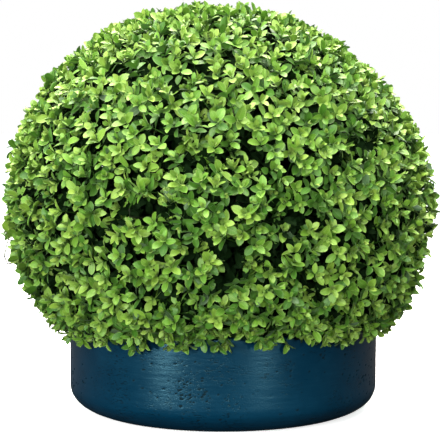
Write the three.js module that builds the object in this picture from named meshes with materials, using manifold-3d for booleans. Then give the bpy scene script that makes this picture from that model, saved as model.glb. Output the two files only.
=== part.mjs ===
// Box topiary ball in a low round pot: an artificial clipped shrub for a patio or a hallway.
// Millimetres, +Z up. The origin is the middle of the pot's flat underside, on the ground.
// A short stem stands in the pot's filling and carries a spiral of tapering boughs, and each
// bough ends on the inner face of the clipped ball of leaves, a thick shell round a bare middle.

import * as THREE from 'three';
import { mergeVertices } from 'three/addons/utils/BufferGeometryUtils.js';
import Module from 'manifold-3d';

// ---- driving dimensions -------------------------------------------------------------------

const GAP = 0.5; // kept between pieces that touch

const POT_RADIUS = 175;
const POT_HEIGHT = 108;
const POT_WALL = 12;
const POT_FLOOR = 14;
const POT_EDGE_WIDTH = 44; // the rounded lower edge, measured across
const POT_EDGE_HEIGHT = 28; // and measured up
const POT_LIP = 5; // rounding of the rim

const FILLING_TOP = 86;
const FILLING_CROWN = 4; // the filling rises this much towards the stem
const FILLING_SHOULDER = 0.62; // share of the bore at which most of that rise is done
const FILLING_TOP_WIDTH = 2.5; // half width of its level middle, in stem radii

const CROWN_CENTRE = new THREE.Vector3(-4.5, 0, 231);
const CROWN_ACROSS = 243; // half width of the clipped ball, to the leaf tips
const CROWN_UP = 226; // half height of the ball, were it whole
const CROWN_SHOULDER = 0.03; // how much fuller one shoulder and the haunch opposite it are
const CROWN_LUMP = 0.0126; // unevenness left by the shears, as a share of the radius
const CROWN_LUMPS = 80;
const CROWN_LUMP_ORDER = 12.9898; // sets the sequence of lumps and dips
const CROWN_LUMP_WIDTH = 0.24; // radians
const CROWN_HEM = 87; // the leaves hang down to here round the pot
const CROWN_HEM_TILT = 0.041; // radians: the hem is a little higher at the front
const HOLLOW_ACROSS = 178; // half width of the bare middle
const HOLLOW_UP = 163;
const RIM_CLEARANCE = 2; // between the leaves and the pot

const STEM_RADIUS = 12.5;
const STEM_TIP_RADIUS = 8;
const STEM_FLARE = 9; // how much the foot widens
const STEM_FLARE_RISE = 0.07; // share of the stem's length in which that fades
const STEM_TOP = 214;
const STEM_SWAY = 3.5; // how far the stem bends off a straight line
const STEM_SWAY_FORWARD = 0.6; // how much of that is also towards the front

const BOUGH_COUNT = 12;
const BOUGH_RADIUS = 6.2;
const BOUGH_TIP_RADIUS = 3.4;
const BOUGH_FIRST = 118; // height at which the lowest bough leaves the stem
const BOUGH_FIRST_TURN = 0.6; // radians round from +X
const BOUGH_STEP = 7.4; // rise from one bough to the next
const BOUGH_LOWEST_PITCH = -0.3; // radians, from the crown's middle to the lowest bough's end
const BOUGH_HIGHEST_PITCH = 1.3;
const BOUGH_PITCH_EASE = 1.2; // above 1, more of the boughs are low
const BOUGH_SAG = 9; // how far a bough's middle hangs below its chord
const BOUGH_OVERSHOOT = 1.04; // boughs are drawn past the bare middle, then cut back to it

const ROUND_SIDES = 60; // facets round the pot
const EDGE_STEPS = 7;
const LIP_STEPS = 2;
const LEVEL_SIDES = 12;
const INNER_EDGE_STEPS = 4;
const STEM_RINGS = 14;
const STEM_SIDES = 16;
const BOUGH_RINGS = 6;
const BOUGH_SIDES = 8;
const CROWN_DETAIL = 11;
const HOLLOW_DETAIL = 6;
const WELD = 1e-3; // corners closer than this are one

const GOLDEN_ANGLE = Math.PI * (3 - Math.sqrt(5));

// ---- solids ---------------------------------------------------------------------------------

const wasm = await Module();
wasm.setup();

// Merges shared corners and drops the triangles that closed up on the axis.
function welded(geometry) {
  const bare = geometry.clone();
  bare.deleteAttribute('normal');
  bare.deleteAttribute('uv');
  const merged = mergeVertices(bare, WELD);
  const kept = [];
  for (let i = 0; i < merged.index.count; i += 3) {
    const [a, b, c] = [0, 1, 2].map((k) => merged.index.getX(i + k));
    if (a !== b && b !== c && c !== a) kept.push(a, b, c);
  }
  merged.setIndex(kept);
  merged.computeVertexNormals();
  return merged;
}

function toSolid(geometry) {
  const closed = welded(geometry);
  return new wasm.Manifold(new wasm.Mesh({
    numProp: 3,
    vertProperties: new Float32Array(closed.attributes.position.array),
    triVerts: new Uint32Array(closed.index.array),
  }));
}

function toGeometry(solid) {
  const mesh = solid.getMesh();
  const geometry = new THREE.BufferGeometry();
  geometry.setAttribute('position', new THREE.BufferAttribute(mesh.vertProperties, 3));
  geometry.setIndex(new THREE.BufferAttribute(mesh.triVerts, 1));
  geometry.computeVertexNormals();
  return geometry;
}

// A profile of [radius, height] pairs that starts and ends on the axis, turned about +Z.
function turned(profile, sides) {
  const points = profile.map(([radius, height]) => new THREE.Vector2(radius, height));
  const lathe = new THREE.LatheGeometry(points, sides);
  lathe.rotateX(Math.PI / 2);
  return welded(lathe);
}

// Points of a quarter ellipse round (cx, cy), from one angle to another.
function arc(cx, cy, rx, ry, from, to, steps) {
  return Array.from({ length: steps + 1 }, (_, i) => {
    const angle = from + ((to - from) * i) / steps;
    return [cx + rx * Math.cos(angle), cy + ry * Math.sin(angle)];
  });
}

// One limb: rings of a changing radius along a curve, closed by a flat cut at each end.
function limb(curve, radiusAt, steps, sides) {
  const frames = curve.computeFrenetFrames(steps, false);
  const corners = [];
  const faces = [];
  for (let i = 0; i <= steps; i += 1) {
    const middle = curve.getPointAt(i / steps);
    for (let k = 0; k < sides; k += 1) {
      const turn = (2 * Math.PI * k) / sides;
      const out = frames.normals[i].clone().multiplyScalar(Math.cos(turn));
      out.addScaledVector(frames.binormals[i], Math.sin(turn));
      corners.push(...middle.clone().addScaledVector(out, radiusAt(i / steps)).toArray());
    }
  }
  const start = corners.length / 3;
  corners.push(...curve.getPointAt(0).toArray(), ...curve.getPointAt(1).toArray());
  for (let k = 0; k < sides; k += 1) {
    const next = (k + 1) % sides;
    for (let i = 0; i < steps; i += 1) {
      const [a, b] = [i * sides + k, i * sides + next];
      faces.push(a, b, b + sides, a, b + sides, a + sides);
    }
    const last = steps * sides;
    faces.push(start, next, k, start + 1, last + k, last + next);
  }
  const geometry = new THREE.BufferGeometry();
  geometry.setAttribute('position', new THREE.Float32BufferAttribute(corners, 3));
  geometry.setIndex(faces);
  return geometry;
}

// ---- the pot and what fills it --------------------------------------------------------------

function potGeometry() {
  const flat = POT_RADIUS - POT_EDGE_WIDTH;
  const bore = POT_RADIUS - POT_WALL;
  const innerEdge = [POT_EDGE_WIDTH - POT_WALL / 2, POT_EDGE_HEIGHT - POT_WALL / 2];
  return turned([
    [0, 0],
    ...arc(flat, POT_EDGE_HEIGHT, POT_EDGE_WIDTH, POT_EDGE_HEIGHT, -Math.PI / 2, 0, EDGE_STEPS),
    ...arc(POT_RADIUS - POT_LIP, POT_HEIGHT - POT_LIP, POT_LIP, POT_LIP, 0, Math.PI / 2, LIP_STEPS),
    ...arc(bore + POT_LIP, POT_HEIGHT - POT_LIP, POT_LIP, POT_LIP, Math.PI / 2, Math.PI, LIP_STEPS),
    ...arc(bore - innerEdge[0], POT_FLOOR + innerEdge[1], ...innerEdge, 0, -Math.PI / 2, INNER_EDGE_STEPS),
    [0, POT_FLOOR],
  ], ROUND_SIDES);
}

function fillingGeometry() {
  const bore = POT_RADIUS - POT_WALL - GAP;
  const floor = POT_FLOOR + GAP;
  const edge = [POT_EDGE_WIDTH - POT_WALL / 2, POT_EDGE_HEIGHT - POT_WALL / 2];
  return turned([
    [0, floor],
    ...arc(bore - edge[0], floor + edge[1], ...edge, -Math.PI / 2, 0, INNER_EDGE_STEPS),
    [bore, FILLING_TOP - FILLING_CROWN],
    [bore * FILLING_SHOULDER, FILLING_TOP - FILLING_CROWN / 4],
    [STEM_RADIUS * FILLING_TOP_WIDTH, FILLING_TOP],
    [0, FILLING_TOP],
  ], ROUND_SIDES);
}

// ---- stem and boughs ------------------------------------------------------------------------

const stemCurve = new THREE.CatmullRomCurve3(Array.from({ length: 6 }, (_, i) => {
  const rise = i / 5;
  const sway = STEM_SWAY * Math.sin(Math.PI * rise);
  return new THREE.Vector3(
    CROWN_CENTRE.x * rise + sway,
    -STEM_SWAY_FORWARD * sway,
    FILLING_TOP + GAP + (STEM_TOP - FILLING_TOP - GAP) * rise,
  );
}));

function stemRadiusAt(rise) {
  const taper = STEM_RADIUS + (STEM_TIP_RADIUS - STEM_RADIUS) * rise;
  return taper + STEM_FLARE * Math.exp(-rise / STEM_FLARE_RISE);
}

function stemGeometry(margin) {
  return limb(stemCurve, (rise) => stemRadiusAt(rise) + margin, STEM_RINGS, STEM_SIDES);
}

// The stem's foot is cut level with the filling.
function stemCutLevel() {
  const across = STEM_RADIUS + 2 * STEM_FLARE;
  const above = STEM_TOP + STEM_RADIUS;
  const level = turned([
    [0, FILLING_TOP + GAP],
    [across, FILLING_TOP + GAP],
    [across, above],
    [0, above],
  ], LEVEL_SIDES);
  return toGeometry(toSolid(stemGeometry(0)).intersect(toSolid(level)));
}

// An egg round the crown's middle, its radius scaled by a function of the direction.
function egg(detail, across, up, scaleAt) {
  const geometry = welded(new THREE.IcosahedronGeometry(across, detail));
  const places = geometry.attributes.position;
  const place = new THREE.Vector3();
  for (let i = 0; i < places.count; i += 1) {
    place.fromBufferAttribute(places, i).normalize();
    const scale = scaleAt(place);
    place.multiply(new THREE.Vector3(across, across, up)).multiplyScalar(scale);
    place.add(CROWN_CENTRE);
    places.setXYZ(i, place.x, place.y, place.z);
  }
  return geometry;
}

// The bare middle of the crown, drawn in by a margin.
function hollowGeometry(margin) {
  return egg(HOLLOW_DETAIL, HOLLOW_ACROSS - margin, HOLLOW_UP - margin, () => 1);
}

function onHollow(pitch, turn, share) {
  return new THREE.Vector3(
    CROWN_CENTRE.x + share * HOLLOW_ACROSS * Math.cos(pitch) * Math.cos(turn),
    CROWN_CENTRE.y + share * HOLLOW_ACROSS * Math.cos(pitch) * Math.sin(turn),
    CROWN_CENTRE.z + share * HOLLOW_UP * Math.sin(pitch),
  );
}

// Boughs leave the stem in a spiral, the low ones long and level, the high ones steep.
function boughGeometry(index) {
  const share = index / (BOUGH_COUNT - 1);
  const turn = BOUGH_FIRST_TURN + index * GOLDEN_ANGLE;
  const height = BOUGH_FIRST + index * BOUGH_STEP;
  const rise = (height - FILLING_TOP - GAP) / (STEM_TOP - FILLING_TOP - GAP);
  const pitchRange = BOUGH_HIGHEST_PITCH - BOUGH_LOWEST_PITCH;
  const pitch = BOUGH_LOWEST_PITCH + pitchRange * share ** BOUGH_PITCH_EASE;
  const from = stemCurve.getPointAt(rise);
  const to = onHollow(pitch, turn, BOUGH_OVERSHOOT);
  const middle = from.clone().lerp(to, 0.5);
  middle.z -= BOUGH_SAG * (1 - share);
  const curve = new THREE.CatmullRomCurve3([from, middle, to]);
  const radiusAt = (along) => BOUGH_RADIUS + (BOUGH_TIP_RADIUS - BOUGH_RADIUS) * along;
  const whole = toSolid(limb(curve, radiusAt, BOUGH_RINGS, BOUGH_SIDES));
  const middleRoom = toSolid(hollowGeometry(GAP));
  return toGeometry(whole.subtract(toSolid(stemGeometry(GAP))).intersect(middleRoom));
}

// ---- the ball of leaves ---------------------------------------------------------------------

// Evenly spread directions, each with its own height or depth, from one fixed sequence.
const lumps = Array.from({ length: CROWN_LUMPS }, (_, i) => {
  const z = 1 - (2 * i + 1) / CROWN_LUMPS;
  const turn = i * GOLDEN_ANGLE;
  const flat = Math.sqrt(1 - z * z);
  return {
    toward: new THREE.Vector3(flat * Math.cos(turn), flat * Math.sin(turn), z),
    height: Math.sin(i * CROWN_LUMP_ORDER),
  };
});

function unevenness(direction) {
  const lean = -CROWN_SHOULDER * direction.x * direction.z;
  return lumps.reduce((sum, { toward, height }) => {
    const apart = direction.angleTo(toward) / CROWN_LUMP_WIDTH;
    return sum + CROWN_LUMP * height * Math.exp(-apart * apart);
  }, 1 + lean);
}

// The ball is cut off flat at its hem, and cut round the pot that it hangs over.
function foliageGeometry() {
  const reach = CROWN_ACROSS * 1.5;
  const besidePot = POT_RADIUS + RIM_CLEARANCE;
  const abovePot = POT_HEIGHT + RIM_CLEARANCE;
  const potRoom = turned([
    [0, -reach],
    [besidePot, -reach],
    [besidePot, abovePot],
    [0, abovePot],
  ], ROUND_SIDES);
  const belowHem = new THREE.BoxGeometry(2 * reach, 2 * reach, reach);
  belowHem.translate(0, 0, -reach / 2).rotateX(-CROWN_HEM_TILT).translate(0, 0, CROWN_HEM);
  const ball = toSolid(egg(CROWN_DETAIL, CROWN_ACROSS, CROWN_UP, unevenness));
  const cuts = [potRoom, belowHem, hollowGeometry(0)];
  return toGeometry(cuts.reduce((solid, cut) => solid.subtract(toSolid(cut)), ball));
}

// ---- materials and the finished object ------------------------------------------------------

const fibreClay = new THREE.MeshStandardMaterial({ color: 0x143c55, roughness: 0.55, metalness: 0 });
const filling = new THREE.MeshStandardMaterial({ color: 0x3a3026, roughness: 0.95, metalness: 0 });
const bark = new THREE.MeshStandardMaterial({ color: 0x5b4a34, roughness: 0.8, metalness: 0 });
const leaves = new THREE.MeshStandardMaterial({ color: 0x6fa33a, roughness: 0.5, metalness: 0 });

function piece(name, geometry, material) {
  const mesh = new THREE.Mesh(geometry, material);
  mesh.name = name;
  return mesh;
}

const topiary = new THREE.Group();
topiary.name = 'box_topiary_ball';
topiary.add(piece('pot', potGeometry(), fibreClay));
topiary.add(piece('pot_filling', fillingGeometry(), filling));
topiary.add(piece('stem', stemCutLevel(), bark));
for (let i = 0; i < BOUGH_COUNT; i += 1) {
  topiary.add(piece(`bough_${i + 1}`, boughGeometry(i), bark));
}
topiary.add(piece('foliage_ball', foliageGeometry(), leaves));

export default topiary;
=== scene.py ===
import math

import bmesh
import bpy
import numpy as np
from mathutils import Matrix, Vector
from mathutils.bvhtree import BVHTree


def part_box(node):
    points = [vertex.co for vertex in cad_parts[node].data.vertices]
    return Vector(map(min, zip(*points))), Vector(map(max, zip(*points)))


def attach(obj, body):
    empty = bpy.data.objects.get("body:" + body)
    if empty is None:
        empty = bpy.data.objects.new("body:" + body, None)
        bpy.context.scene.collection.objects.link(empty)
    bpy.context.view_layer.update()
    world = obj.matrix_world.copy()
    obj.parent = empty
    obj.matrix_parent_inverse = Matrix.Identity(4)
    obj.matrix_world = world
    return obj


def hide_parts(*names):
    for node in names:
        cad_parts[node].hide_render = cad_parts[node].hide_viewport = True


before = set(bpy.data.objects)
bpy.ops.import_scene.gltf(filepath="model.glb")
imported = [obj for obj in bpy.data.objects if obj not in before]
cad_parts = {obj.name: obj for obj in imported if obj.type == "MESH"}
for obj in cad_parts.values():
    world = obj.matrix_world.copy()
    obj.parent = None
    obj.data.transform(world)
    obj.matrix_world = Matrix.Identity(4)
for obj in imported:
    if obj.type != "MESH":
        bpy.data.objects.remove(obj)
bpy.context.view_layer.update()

bl_info = {
    "name": "Box Topiary Ball",
    "version": (1, 0, 0),
    "blender": (4, 5, 0),
    "location": "3D View > Sidebar > Topiary",
    "description": "Grows bark, twigs and leaves on a clipped box ball, and casts its pot",
    "category": "Object",
}

# ---- places taken from the frame, in metres ----

BODY = "root"
BOUGHS = sorted(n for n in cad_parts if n.startswith("bough_"))
POT_LOW, POT_HIGH = (np.array(corner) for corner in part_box("pot"))
POT_RADIUS = (POT_HIGH[0] - POT_LOW[0]) / 2
BALL_LOW, BALL_HIGH = (np.array(corner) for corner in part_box("foliage_ball"))
BALL_RADIUS = (BALL_HIGH[0] - BALL_LOW[0]) / 2
BALL_FLATTENING = 0.93  # half the ball's height as a share of half its width
BALL_CENTRE = np.array([
    (BALL_LOW[0] + BALL_HIGH[0]) / 2,
    (BALL_LOW[1] + BALL_HIGH[1]) / 2,
    BALL_HIGH[2] - BALL_FLATTENING * BALL_RADIUS,
])
STEM_LOW, STEM_HIGH = (np.array(corner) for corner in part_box("stem"))
GOLDEN_ANGLE = math.pi * (3 - math.sqrt(5))


# ---- settings ----

def length(name, description, default):
    return bpy.props.FloatProperty(
        name=name, description=description, default=default, min=0, unit="LENGTH", precision=5
    )


def amount(name, description, default, most=1.0):
    return bpy.props.FloatProperty(
        name=name, description=description, default=default, min=0, max=most
    )


def angle(name, description, degrees):
    return bpy.props.FloatProperty(
        name=name, description=description, default=math.radians(degrees), subtype="ANGLE"
    )


def count(name, description, default):
    return bpy.props.IntProperty(name=name, description=description, default=default, min=0)


def colour(name, description, red, green, blue):
    return bpy.props.FloatVectorProperty(
        name=name, description=description, default=(red, green, blue),
        size=3, min=0, max=1, subtype="COLOR",
    )


def settings(kind, name, description):
    return bpy.props.PointerProperty(type=kind, name=name, description=description)


class PotSettings(bpy.types.PropertyGroup):
    clay: colour("Clay", "The pot's dark blue", 0.0004, 0.0165, 0.036)
    clay_worn: colour("Worn clay", "Paler blue on rubbed patches", 0.003, 0.029, 0.056)
    # Painted shade: nearly black blue laid into the pits and specks
    painted_pit_shade: colour("Deep clay", "Nearly black blue down in the pits", 0.0004, 0.002, 0.004)
    pits_clustered: count("Clustered pits", "Air holes in the main rough patch", 170)
    pits_scattered: count("Scattered pits", "Air holes over the rest of the wall", 640)
    patches: count("Lesser patches", "Small rough patches round the wall", 26)
    patch_turn: angle("Patch place", "Where the rough patch is, round from the front", -12)
    patch_spread: angle("Patch spread", "Half width of the rough patch", 8)
    patch_height: amount("Patch height", "Height of the patch as a share of the pot's", 0.44)
    pit_width: length("Pit width", "Widest pit, along the wall", 0.0018)
    pit_depth: length("Pit depth", "Deepest pit", 0.0003)
    drag_depth: length("Drag mark depth", "Depth of the level marks left by the mould", 0.00003)


class FillingSettings(bpy.types.PropertyGroup):
    gravel: colour("Gravel", "Main colour of the gravel", 0.06, 0.052, 0.042)
    pebbles: count("Pebbles", "Loose pebbles on top of the filling", 420)
    pebble_size: length("Pebble size", "Mean radius of a pebble", 0.0042)


class WoodSettings(bpy.types.PropertyGroup):
    bark: colour("Bark", "Moulded brown bark", 0.10, 0.066, 0.036)
    bark_dark: colour("Bark hollows", "Down in the bark's furrows", 0.025, 0.016, 0.009)
    # The twigs' own dark colour, taken further towards black as painted shade inside the ball
    twig: colour("Twigs", "Thin dark twigs inside the ball", 0.010, 0.016, 0.004)
    relief: length("Bark relief", "Height of the bark's ridges", 0.0007)
    branches: count("Branches", "Branches that grow from the boughs", 170)
    branch_depth: amount("Branch reach", "Where a branch ends, as a share of the way out", 0.8)


class LeafSettings(bpy.types.PropertyGroup):
    seed: count("Seed", "Start of every random draw on the plant", 7)
    spacing: length("Spray spacing", "Between neighbouring sprays", 0.0178)
    leaf_length: length("Leaf length", "A full-grown leaf", 0.0136)
    leaf_width: length("Leaf width", "A full-grown leaf", 0.0077)
    pairs: count("Leaf pairs", "Pairs of leaves on a spray", 5)
    lean: amount("Lean", "How far sprays lean off straight out", 0.36)
    lift: amount("Lift", "How far sprays turn up to the light, most low on the ball", 0.6)
    stray: length("Stray", "How far a stray spray stands out", 0.006)
    thin: amount("Thin places", "Share of sprays that stop short", 0.3)
    inner_spacing: length("Inner spacing", "Between the old sprays under the outer ones", 0.022)
    young: colour("Young leaf", "Leaves at a spray's tip", 0.146, 0.276, 0.032)
    bright: colour("Bright leaf", "Fresh yellow-green sprays", 0.120, 0.252, 0.020)
    middle: colour("Middle leaf", "Most sprays", 0.088, 0.225, 0.012)
    # Deep colours some whole sprays, and also each spray's lower pairs as painted shade
    deep: colour("Deep leaf", "Darker sprays", 0.034, 0.130, 0.004)
    grey: colour("Grey leaf", "A few dull leaves", 0.045, 0.105, 0.038)
    dull: amount("Dull leaves", "Share of single leaves that are grey", 0.015)
    # Painted shade: a near-black colour for the leaves deep inside the ball
    old: colour("Old leaf", "Leaves deep inside the ball", 0.0014, 0.010, 0.0006)


class StageSettings(bpy.types.PropertyGroup):
    elevation: angle("Camera elevation", "Above the horizon, seen from the pot's foot", 11.5)
    distance: length("Camera distance", "From the pot's foot", 1.75)
    aim: length("Aim height", "Height that the camera looks at", 0.2192)
    lens: bpy.props.FloatProperty(
        name="Lens", description="Focal length in millimetres", default=123.3, unit="CAMERA"
    )
    floor: colour("Floor", "Plain pale floor", 0.9, 0.9, 0.9)
    glow: amount("Floor glow", "How far the floor is lifted to white, as if lit", 0.72)
    sky: amount("Sky", "Strength of the light from all round", 0.95, 5.0)


class TopiarySettings(bpy.types.PropertyGroup):
    pot: settings(PotSettings, "Pot", "Clay and pits")
    filling: settings(FillingSettings, "Filling", "Gravel in the pot")
    wood: settings(WoodSettings, "Wood", "Stem, boughs and twigs")
    leaf: settings(LeafSettings, "Leaves", "Sprays")
    stage: settings(StageSettings, "Stage", "Floor, lights and camera")


# ---- small tools for arrays ----

BEND_REACH = 0.4  # how stiffly a curve leaves and arrives, as a share of its span


def unit(vectors):
    return vectors / np.maximum(np.linalg.norm(vectors, axis=-1, keepdims=True), 1e-12)


def smooth_step(low, high, values):
    share = np.clip((values - low) / (high - low), 0, 1)
    return share * share * (3 - 2 * share)


def softened(values, times):
    """Eases the bends of a row of values. Its two ends stay."""
    for _ in range(times):
        values[1:-1] = (values[:-2] + 2 * values[1:-1] + values[2:]) / 4
    return values


def gone_along(path):
    """How far along a path each of its points is."""
    return np.concatenate([[0], np.cumsum(np.linalg.norm(np.diff(path, axis=0), axis=1))])


def on_path(path, at, gone):
    """The places on a path at the given distances along it."""
    return np.stack([np.interp(at, gone, column) for column in path.T], 1)


def even_directions(total):
    """Directions spread evenly over a whole sphere."""
    index = np.arange(total)
    z = 1 - (2 * index + 1) / total
    turn = index * GOLDEN_ANGLE
    flat = np.sqrt(1 - z * z)
    return np.stack([flat * np.cos(turn), flat * np.sin(turn), z], 1)


def ripple(points, size, seed, waves=24):
    """Smooth seeded unevenness between about -1 and 1, with features of that size."""
    draw = np.random.default_rng(seed)
    toward = unit(draw.normal(size=(waves, 3))) * draw.uniform(0.6, 1.6, (waves, 1))
    phase = draw.uniform(0, 2 * math.pi, waves)
    wave = np.sin(points.reshape(-1, 3) @ toward.T * (math.pi / size) + phase)
    return (wave.sum(1) / math.sqrt(waves)).reshape(points.shape[:-1])


def mesh_piece(name, corners, faces, material, uv=None):
    """A shown piece from corner and face arrays. uv gives a place to each corner."""
    mesh = bpy.data.meshes.new(name)
    loops = np.concatenate([f.ravel() for f in faces]).astype(np.int32)
    sides = np.concatenate([np.full(len(f), f.shape[1]) for f in faces])
    starts = np.concatenate([[0], np.cumsum(sides)[:-1]]).astype(np.int32)
    mesh.vertices.add(len(corners))
    mesh.vertices.foreach_set("co", corners.astype(np.float32).ravel())
    mesh.loops.add(len(loops))
    mesh.loops.foreach_set("vertex_index", loops)
    mesh.polygons.add(len(sides))
    mesh.polygons.foreach_set("loop_start", starts)
    mesh.update(calc_edges=True)
    mesh.polygons.foreach_set("use_smooth", np.full(len(sides), True))
    if uv is not None:
        layer = mesh.uv_layers.new(name="OFBake")
        layer.data.foreach_set("uv", uv[loops].astype(np.float32).ravel())
    if mesh.validate():
        raise RuntimeError(f"{name} has faces that Blender had to mend")
    mesh.materials.append(material)
    piece = bpy.data.objects.new(name, mesh)
    bpy.context.scene.collection.objects.link(piece)
    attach(piece, BODY)
    return piece


def ring_faces(rows, sides):
    """Faces of one open tube, as rows by sides by corners."""
    row = (np.arange(rows - 1) * sides)[:, None]
    here, after = np.arange(sides), (np.arange(sides) + 1) % sides
    return np.stack([row + here, row + after, row + sides + after, row + sides + here], -1)


def tubes(paths, radii, sides):
    """Closed tubes along many paths of equal length: corners and faces."""
    along = unit(np.gradient(paths, axis=1))
    chord = unit(paths[:, -1] - paths[:, 0])
    least = np.eye(3)[np.abs(chord).argmin(1)]
    across = unit(np.cross(chord, least))[:, None, :]
    first = unit(across - (across * along).sum(-1, keepdims=True) * along)
    second = np.cross(along, first)
    turn = 2 * math.pi * np.arange(sides) / sides
    ring = (
        first[:, :, None, :] * np.cos(turn)[:, None]
        + second[:, :, None, :] * np.sin(turn)[:, None]
    )
    corners = paths[:, :, None, :] + ring * radii[..., None, None]
    total, steps = paths.shape[:2]
    base = (np.arange(total) * steps * sides)[:, None]
    quads = (base[..., None, None] + ring_faces(steps, sides)).reshape(-1, 4)
    foot = base + np.arange(sides)[::-1]
    tip = base + (steps - 1) * sides + np.arange(sides)
    return corners.reshape(-1, 3), [quads, foot, tip]


def bent(start, end, leave, arrive, steps):
    """Curves from start to end, leaving and arriving along given directions."""
    reach = np.linalg.norm(end - start, axis=-1, keepdims=True) * BEND_REACH
    pull = [start, start + leave * reach, end - arrive * reach, end]
    share = np.linspace(0, 1, steps)[:, None]
    left = 1 - share
    weight = [left ** 3, 3 * left ** 2 * share, 3 * left * share ** 2, share ** 3]
    return sum(w * p[:, None, :] for w, p in zip(weight, pull))


# ---- materials ----

def add_node(tree, kind, settings, *inputs):
    """A new node. Each input is a socket's name or number, and a value or another socket."""
    made = tree.nodes.new(kind)
    for key, value in settings.items():
        setattr(made, key, value)
    for place, value in inputs:
        if isinstance(value, bpy.types.NodeSocket):
            tree.links.new(value, made.inputs[place])
        else:
            made.inputs[place].default_value = value
    return made


class Finish:
    """A material's nodes, added and joined one line at a time."""

    def __init__(self, name, roughness, specular):
        self.material = bpy.data.materials.new(name)
        self.material.use_nodes = True
        self.tree = self.material.node_tree
        self.shader = self.tree.nodes["Principled BSDF"]
        self.shader.inputs["Roughness"].default_value = roughness
        self.shader.inputs["Specular IOR Level"].default_value = specular

    def node(self, kind, settings, *inputs):
        return add_node(self.tree, kind, settings, *inputs)

    def maths(self, operation, first, second=0.0):
        node = self.node("ShaderNodeMath", {"operation": operation}, (0, first), (1, second))
        return node.outputs[0]

    def times(self, first, second):
        return self.maths("MULTIPLY", first, second)

    def plus(self, first, second):
        return self.maths("ADD", first, second)

    def less(self, first, second):
        return self.maths("SUBTRACT", first, second)

    def step(self, low, high, value):
        """0 below low, 1 above high, and smooth between."""
        settings = {"interpolation_type": "SMOOTHSTEP"}
        ends = (("From Min", low), ("From Max", high))
        node = self.node("ShaderNodeMapRange", settings, ("Value", value), *ends)
        return node.outputs["Result"]

    def mix(self, share, first, second):
        """From the first colour at share 0 to the second at 1. Either may be a socket."""
        ends = [c if isinstance(c, bpy.types.NodeSocket) else (*c, 1.0) for c in (first, second)]
        colours = ((6, ends[0]), (7, ends[1]))
        return self.node("ShaderNodeMix", {"data_type": "RGBA"}, (0, share), *colours).outputs[2]

    def place(self, stretch=(1, 1, 1)):
        """A point's own place in metres, squeezed or stretched along each axis."""
        coordinates = self.node("ShaderNodeTexCoord", {}).outputs["Object"]
        mapped = self.node("ShaderNodeMapping", {}, ("Vector", coordinates), ("Scale", stretch))
        return mapped.outputs["Vector"]

    def noise(self, place, scale, detail=3.0, rough=0.55):
        node = self.node(
            "ShaderNodeTexNoise", {}, ("Vector", place), ("Scale", scale),
            ("Detail", detail), ("Roughness", rough),
        )
        return node.outputs[0]

    def bump(self, height, strength, distance):
        node = self.node(
            "ShaderNodeBump", {}, ("Height", height), ("Strength", strength),
            ("Distance", distance),
        )
        self.tree.links.new(node.outputs["Normal"], self.shader.inputs["Normal"])

    def paint(self, value):
        self.tree.links.new(value, self.shader.inputs["Base Color"])
        return self.material

    def roughen(self, value):
        self.tree.links.new(value, self.shader.inputs["Roughness"])


def clay_finish(pot):
    """Satin fibre-clay: blotchy blue, level drag marks, fine grain, and pits and specks darkened
    with painted shade.
    """
    finish = Finish("fibre clay", 0.4, 0.26)
    finish.shader.inputs["Specular Tint"].default_value = (0.35, 0.85, 1.0, 1)
    place = finish.place()
    level = finish.place((1, 1, 9))
    blotch = finish.step(0.42, 0.66, finish.noise(place, 16, 4))
    drag = finish.noise(level, 55, 5, 0.65)
    worn = finish.times(finish.step(0.5, 0.75, drag), 0.5)
    shade = finish.mix(finish.times(blotch, 0.35), pot.clay, pot.clay_worn)
    shade = finish.mix(worn, shade, pot.clay_worn)
    rough_patch = finish.step(0.44, 0.58, finish.noise(place, 26, 2))
    speck = finish.step(0.57, 0.63, finish.noise(finish.place((1, 1, 2.8)), 250, 2))
    speck = finish.times(speck, rough_patch)
    # Painted shade: the specks, small dents in the rough patch, are darkened nearly to black
    shade = finish.mix(finish.times(speck, 0.8), shade, pot.painted_pit_shade)
    pit = finish.node("ShaderNodeAttribute", {"attribute_name": "pit"}).outputs["Fac"]
    # Painted shade: each pit is darkened by how far into it a place is
    shade = finish.mix(finish.step(0.08, 0.42, pit), shade, pot.painted_pit_shade)
    rough = finish.plus(finish.times(drag, 0.16), 0.22)
    rough_pit = finish.times(finish.step(0.0, 0.3, pit), 0.5)
    finish.roughen(finish.plus(rough, rough_pit))
    grain = finish.plus(finish.noise(place, 900, 2), drag)
    height = finish.less(grain, finish.times(speck, 1.5))
    finish.bump(height, 0.22, 0.0003)
    return finish.paint(shade)


def gravel_finish(filling):
    """Mixed grit, each grain its own shade of brown and grey."""
    finish = Finish("gravel", 0.85, 0.3)
    place = finish.place()
    grain = finish.node(
        "ShaderNodeTexVoronoi", {"feature": "F1"}, ("Vector", place), ("Scale", 160.0)
    )
    pale = [min(1.0, c * 2.6) for c in filling.gravel]
    own = finish.node("ShaderNodeSeparateColor", {}, (0, grain.outputs["Color"])).outputs[0]
    shade = finish.mix(own, filling.gravel, pale)
    patchy = finish.step(0.3, 0.8, finish.noise(place, 300))
    shade = finish.mix(patchy, shade, filling.gravel)
    finish.bump(finish.less(1.0, grain.outputs["Distance"]), 0.8, 0.002)
    return finish.paint(shade)


def bark_finish(wood):
    """Moulded bark: long furrows and knots in brown."""
    finish = Finish("bark", 0.72, 0.35)
    furrow = finish.noise(finish.place((1, 1, 0.22)), 260, 5, 0.7)
    knots = finish.noise(finish.place(), 70, 3)
    shade = finish.mix(finish.step(0.36, 0.62, furrow), wood.bark_dark, wood.bark)
    pale = [min(1.0, c * 1.7) for c in wood.bark]
    shade = finish.mix(finish.times(finish.step(0.5, 0.75, knots), 0.6), shade, pale)
    finish.bump(finish.plus(furrow, finish.times(knots, 0.6)), 0.7, 0.001)
    return finish.paint(shade)


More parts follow.
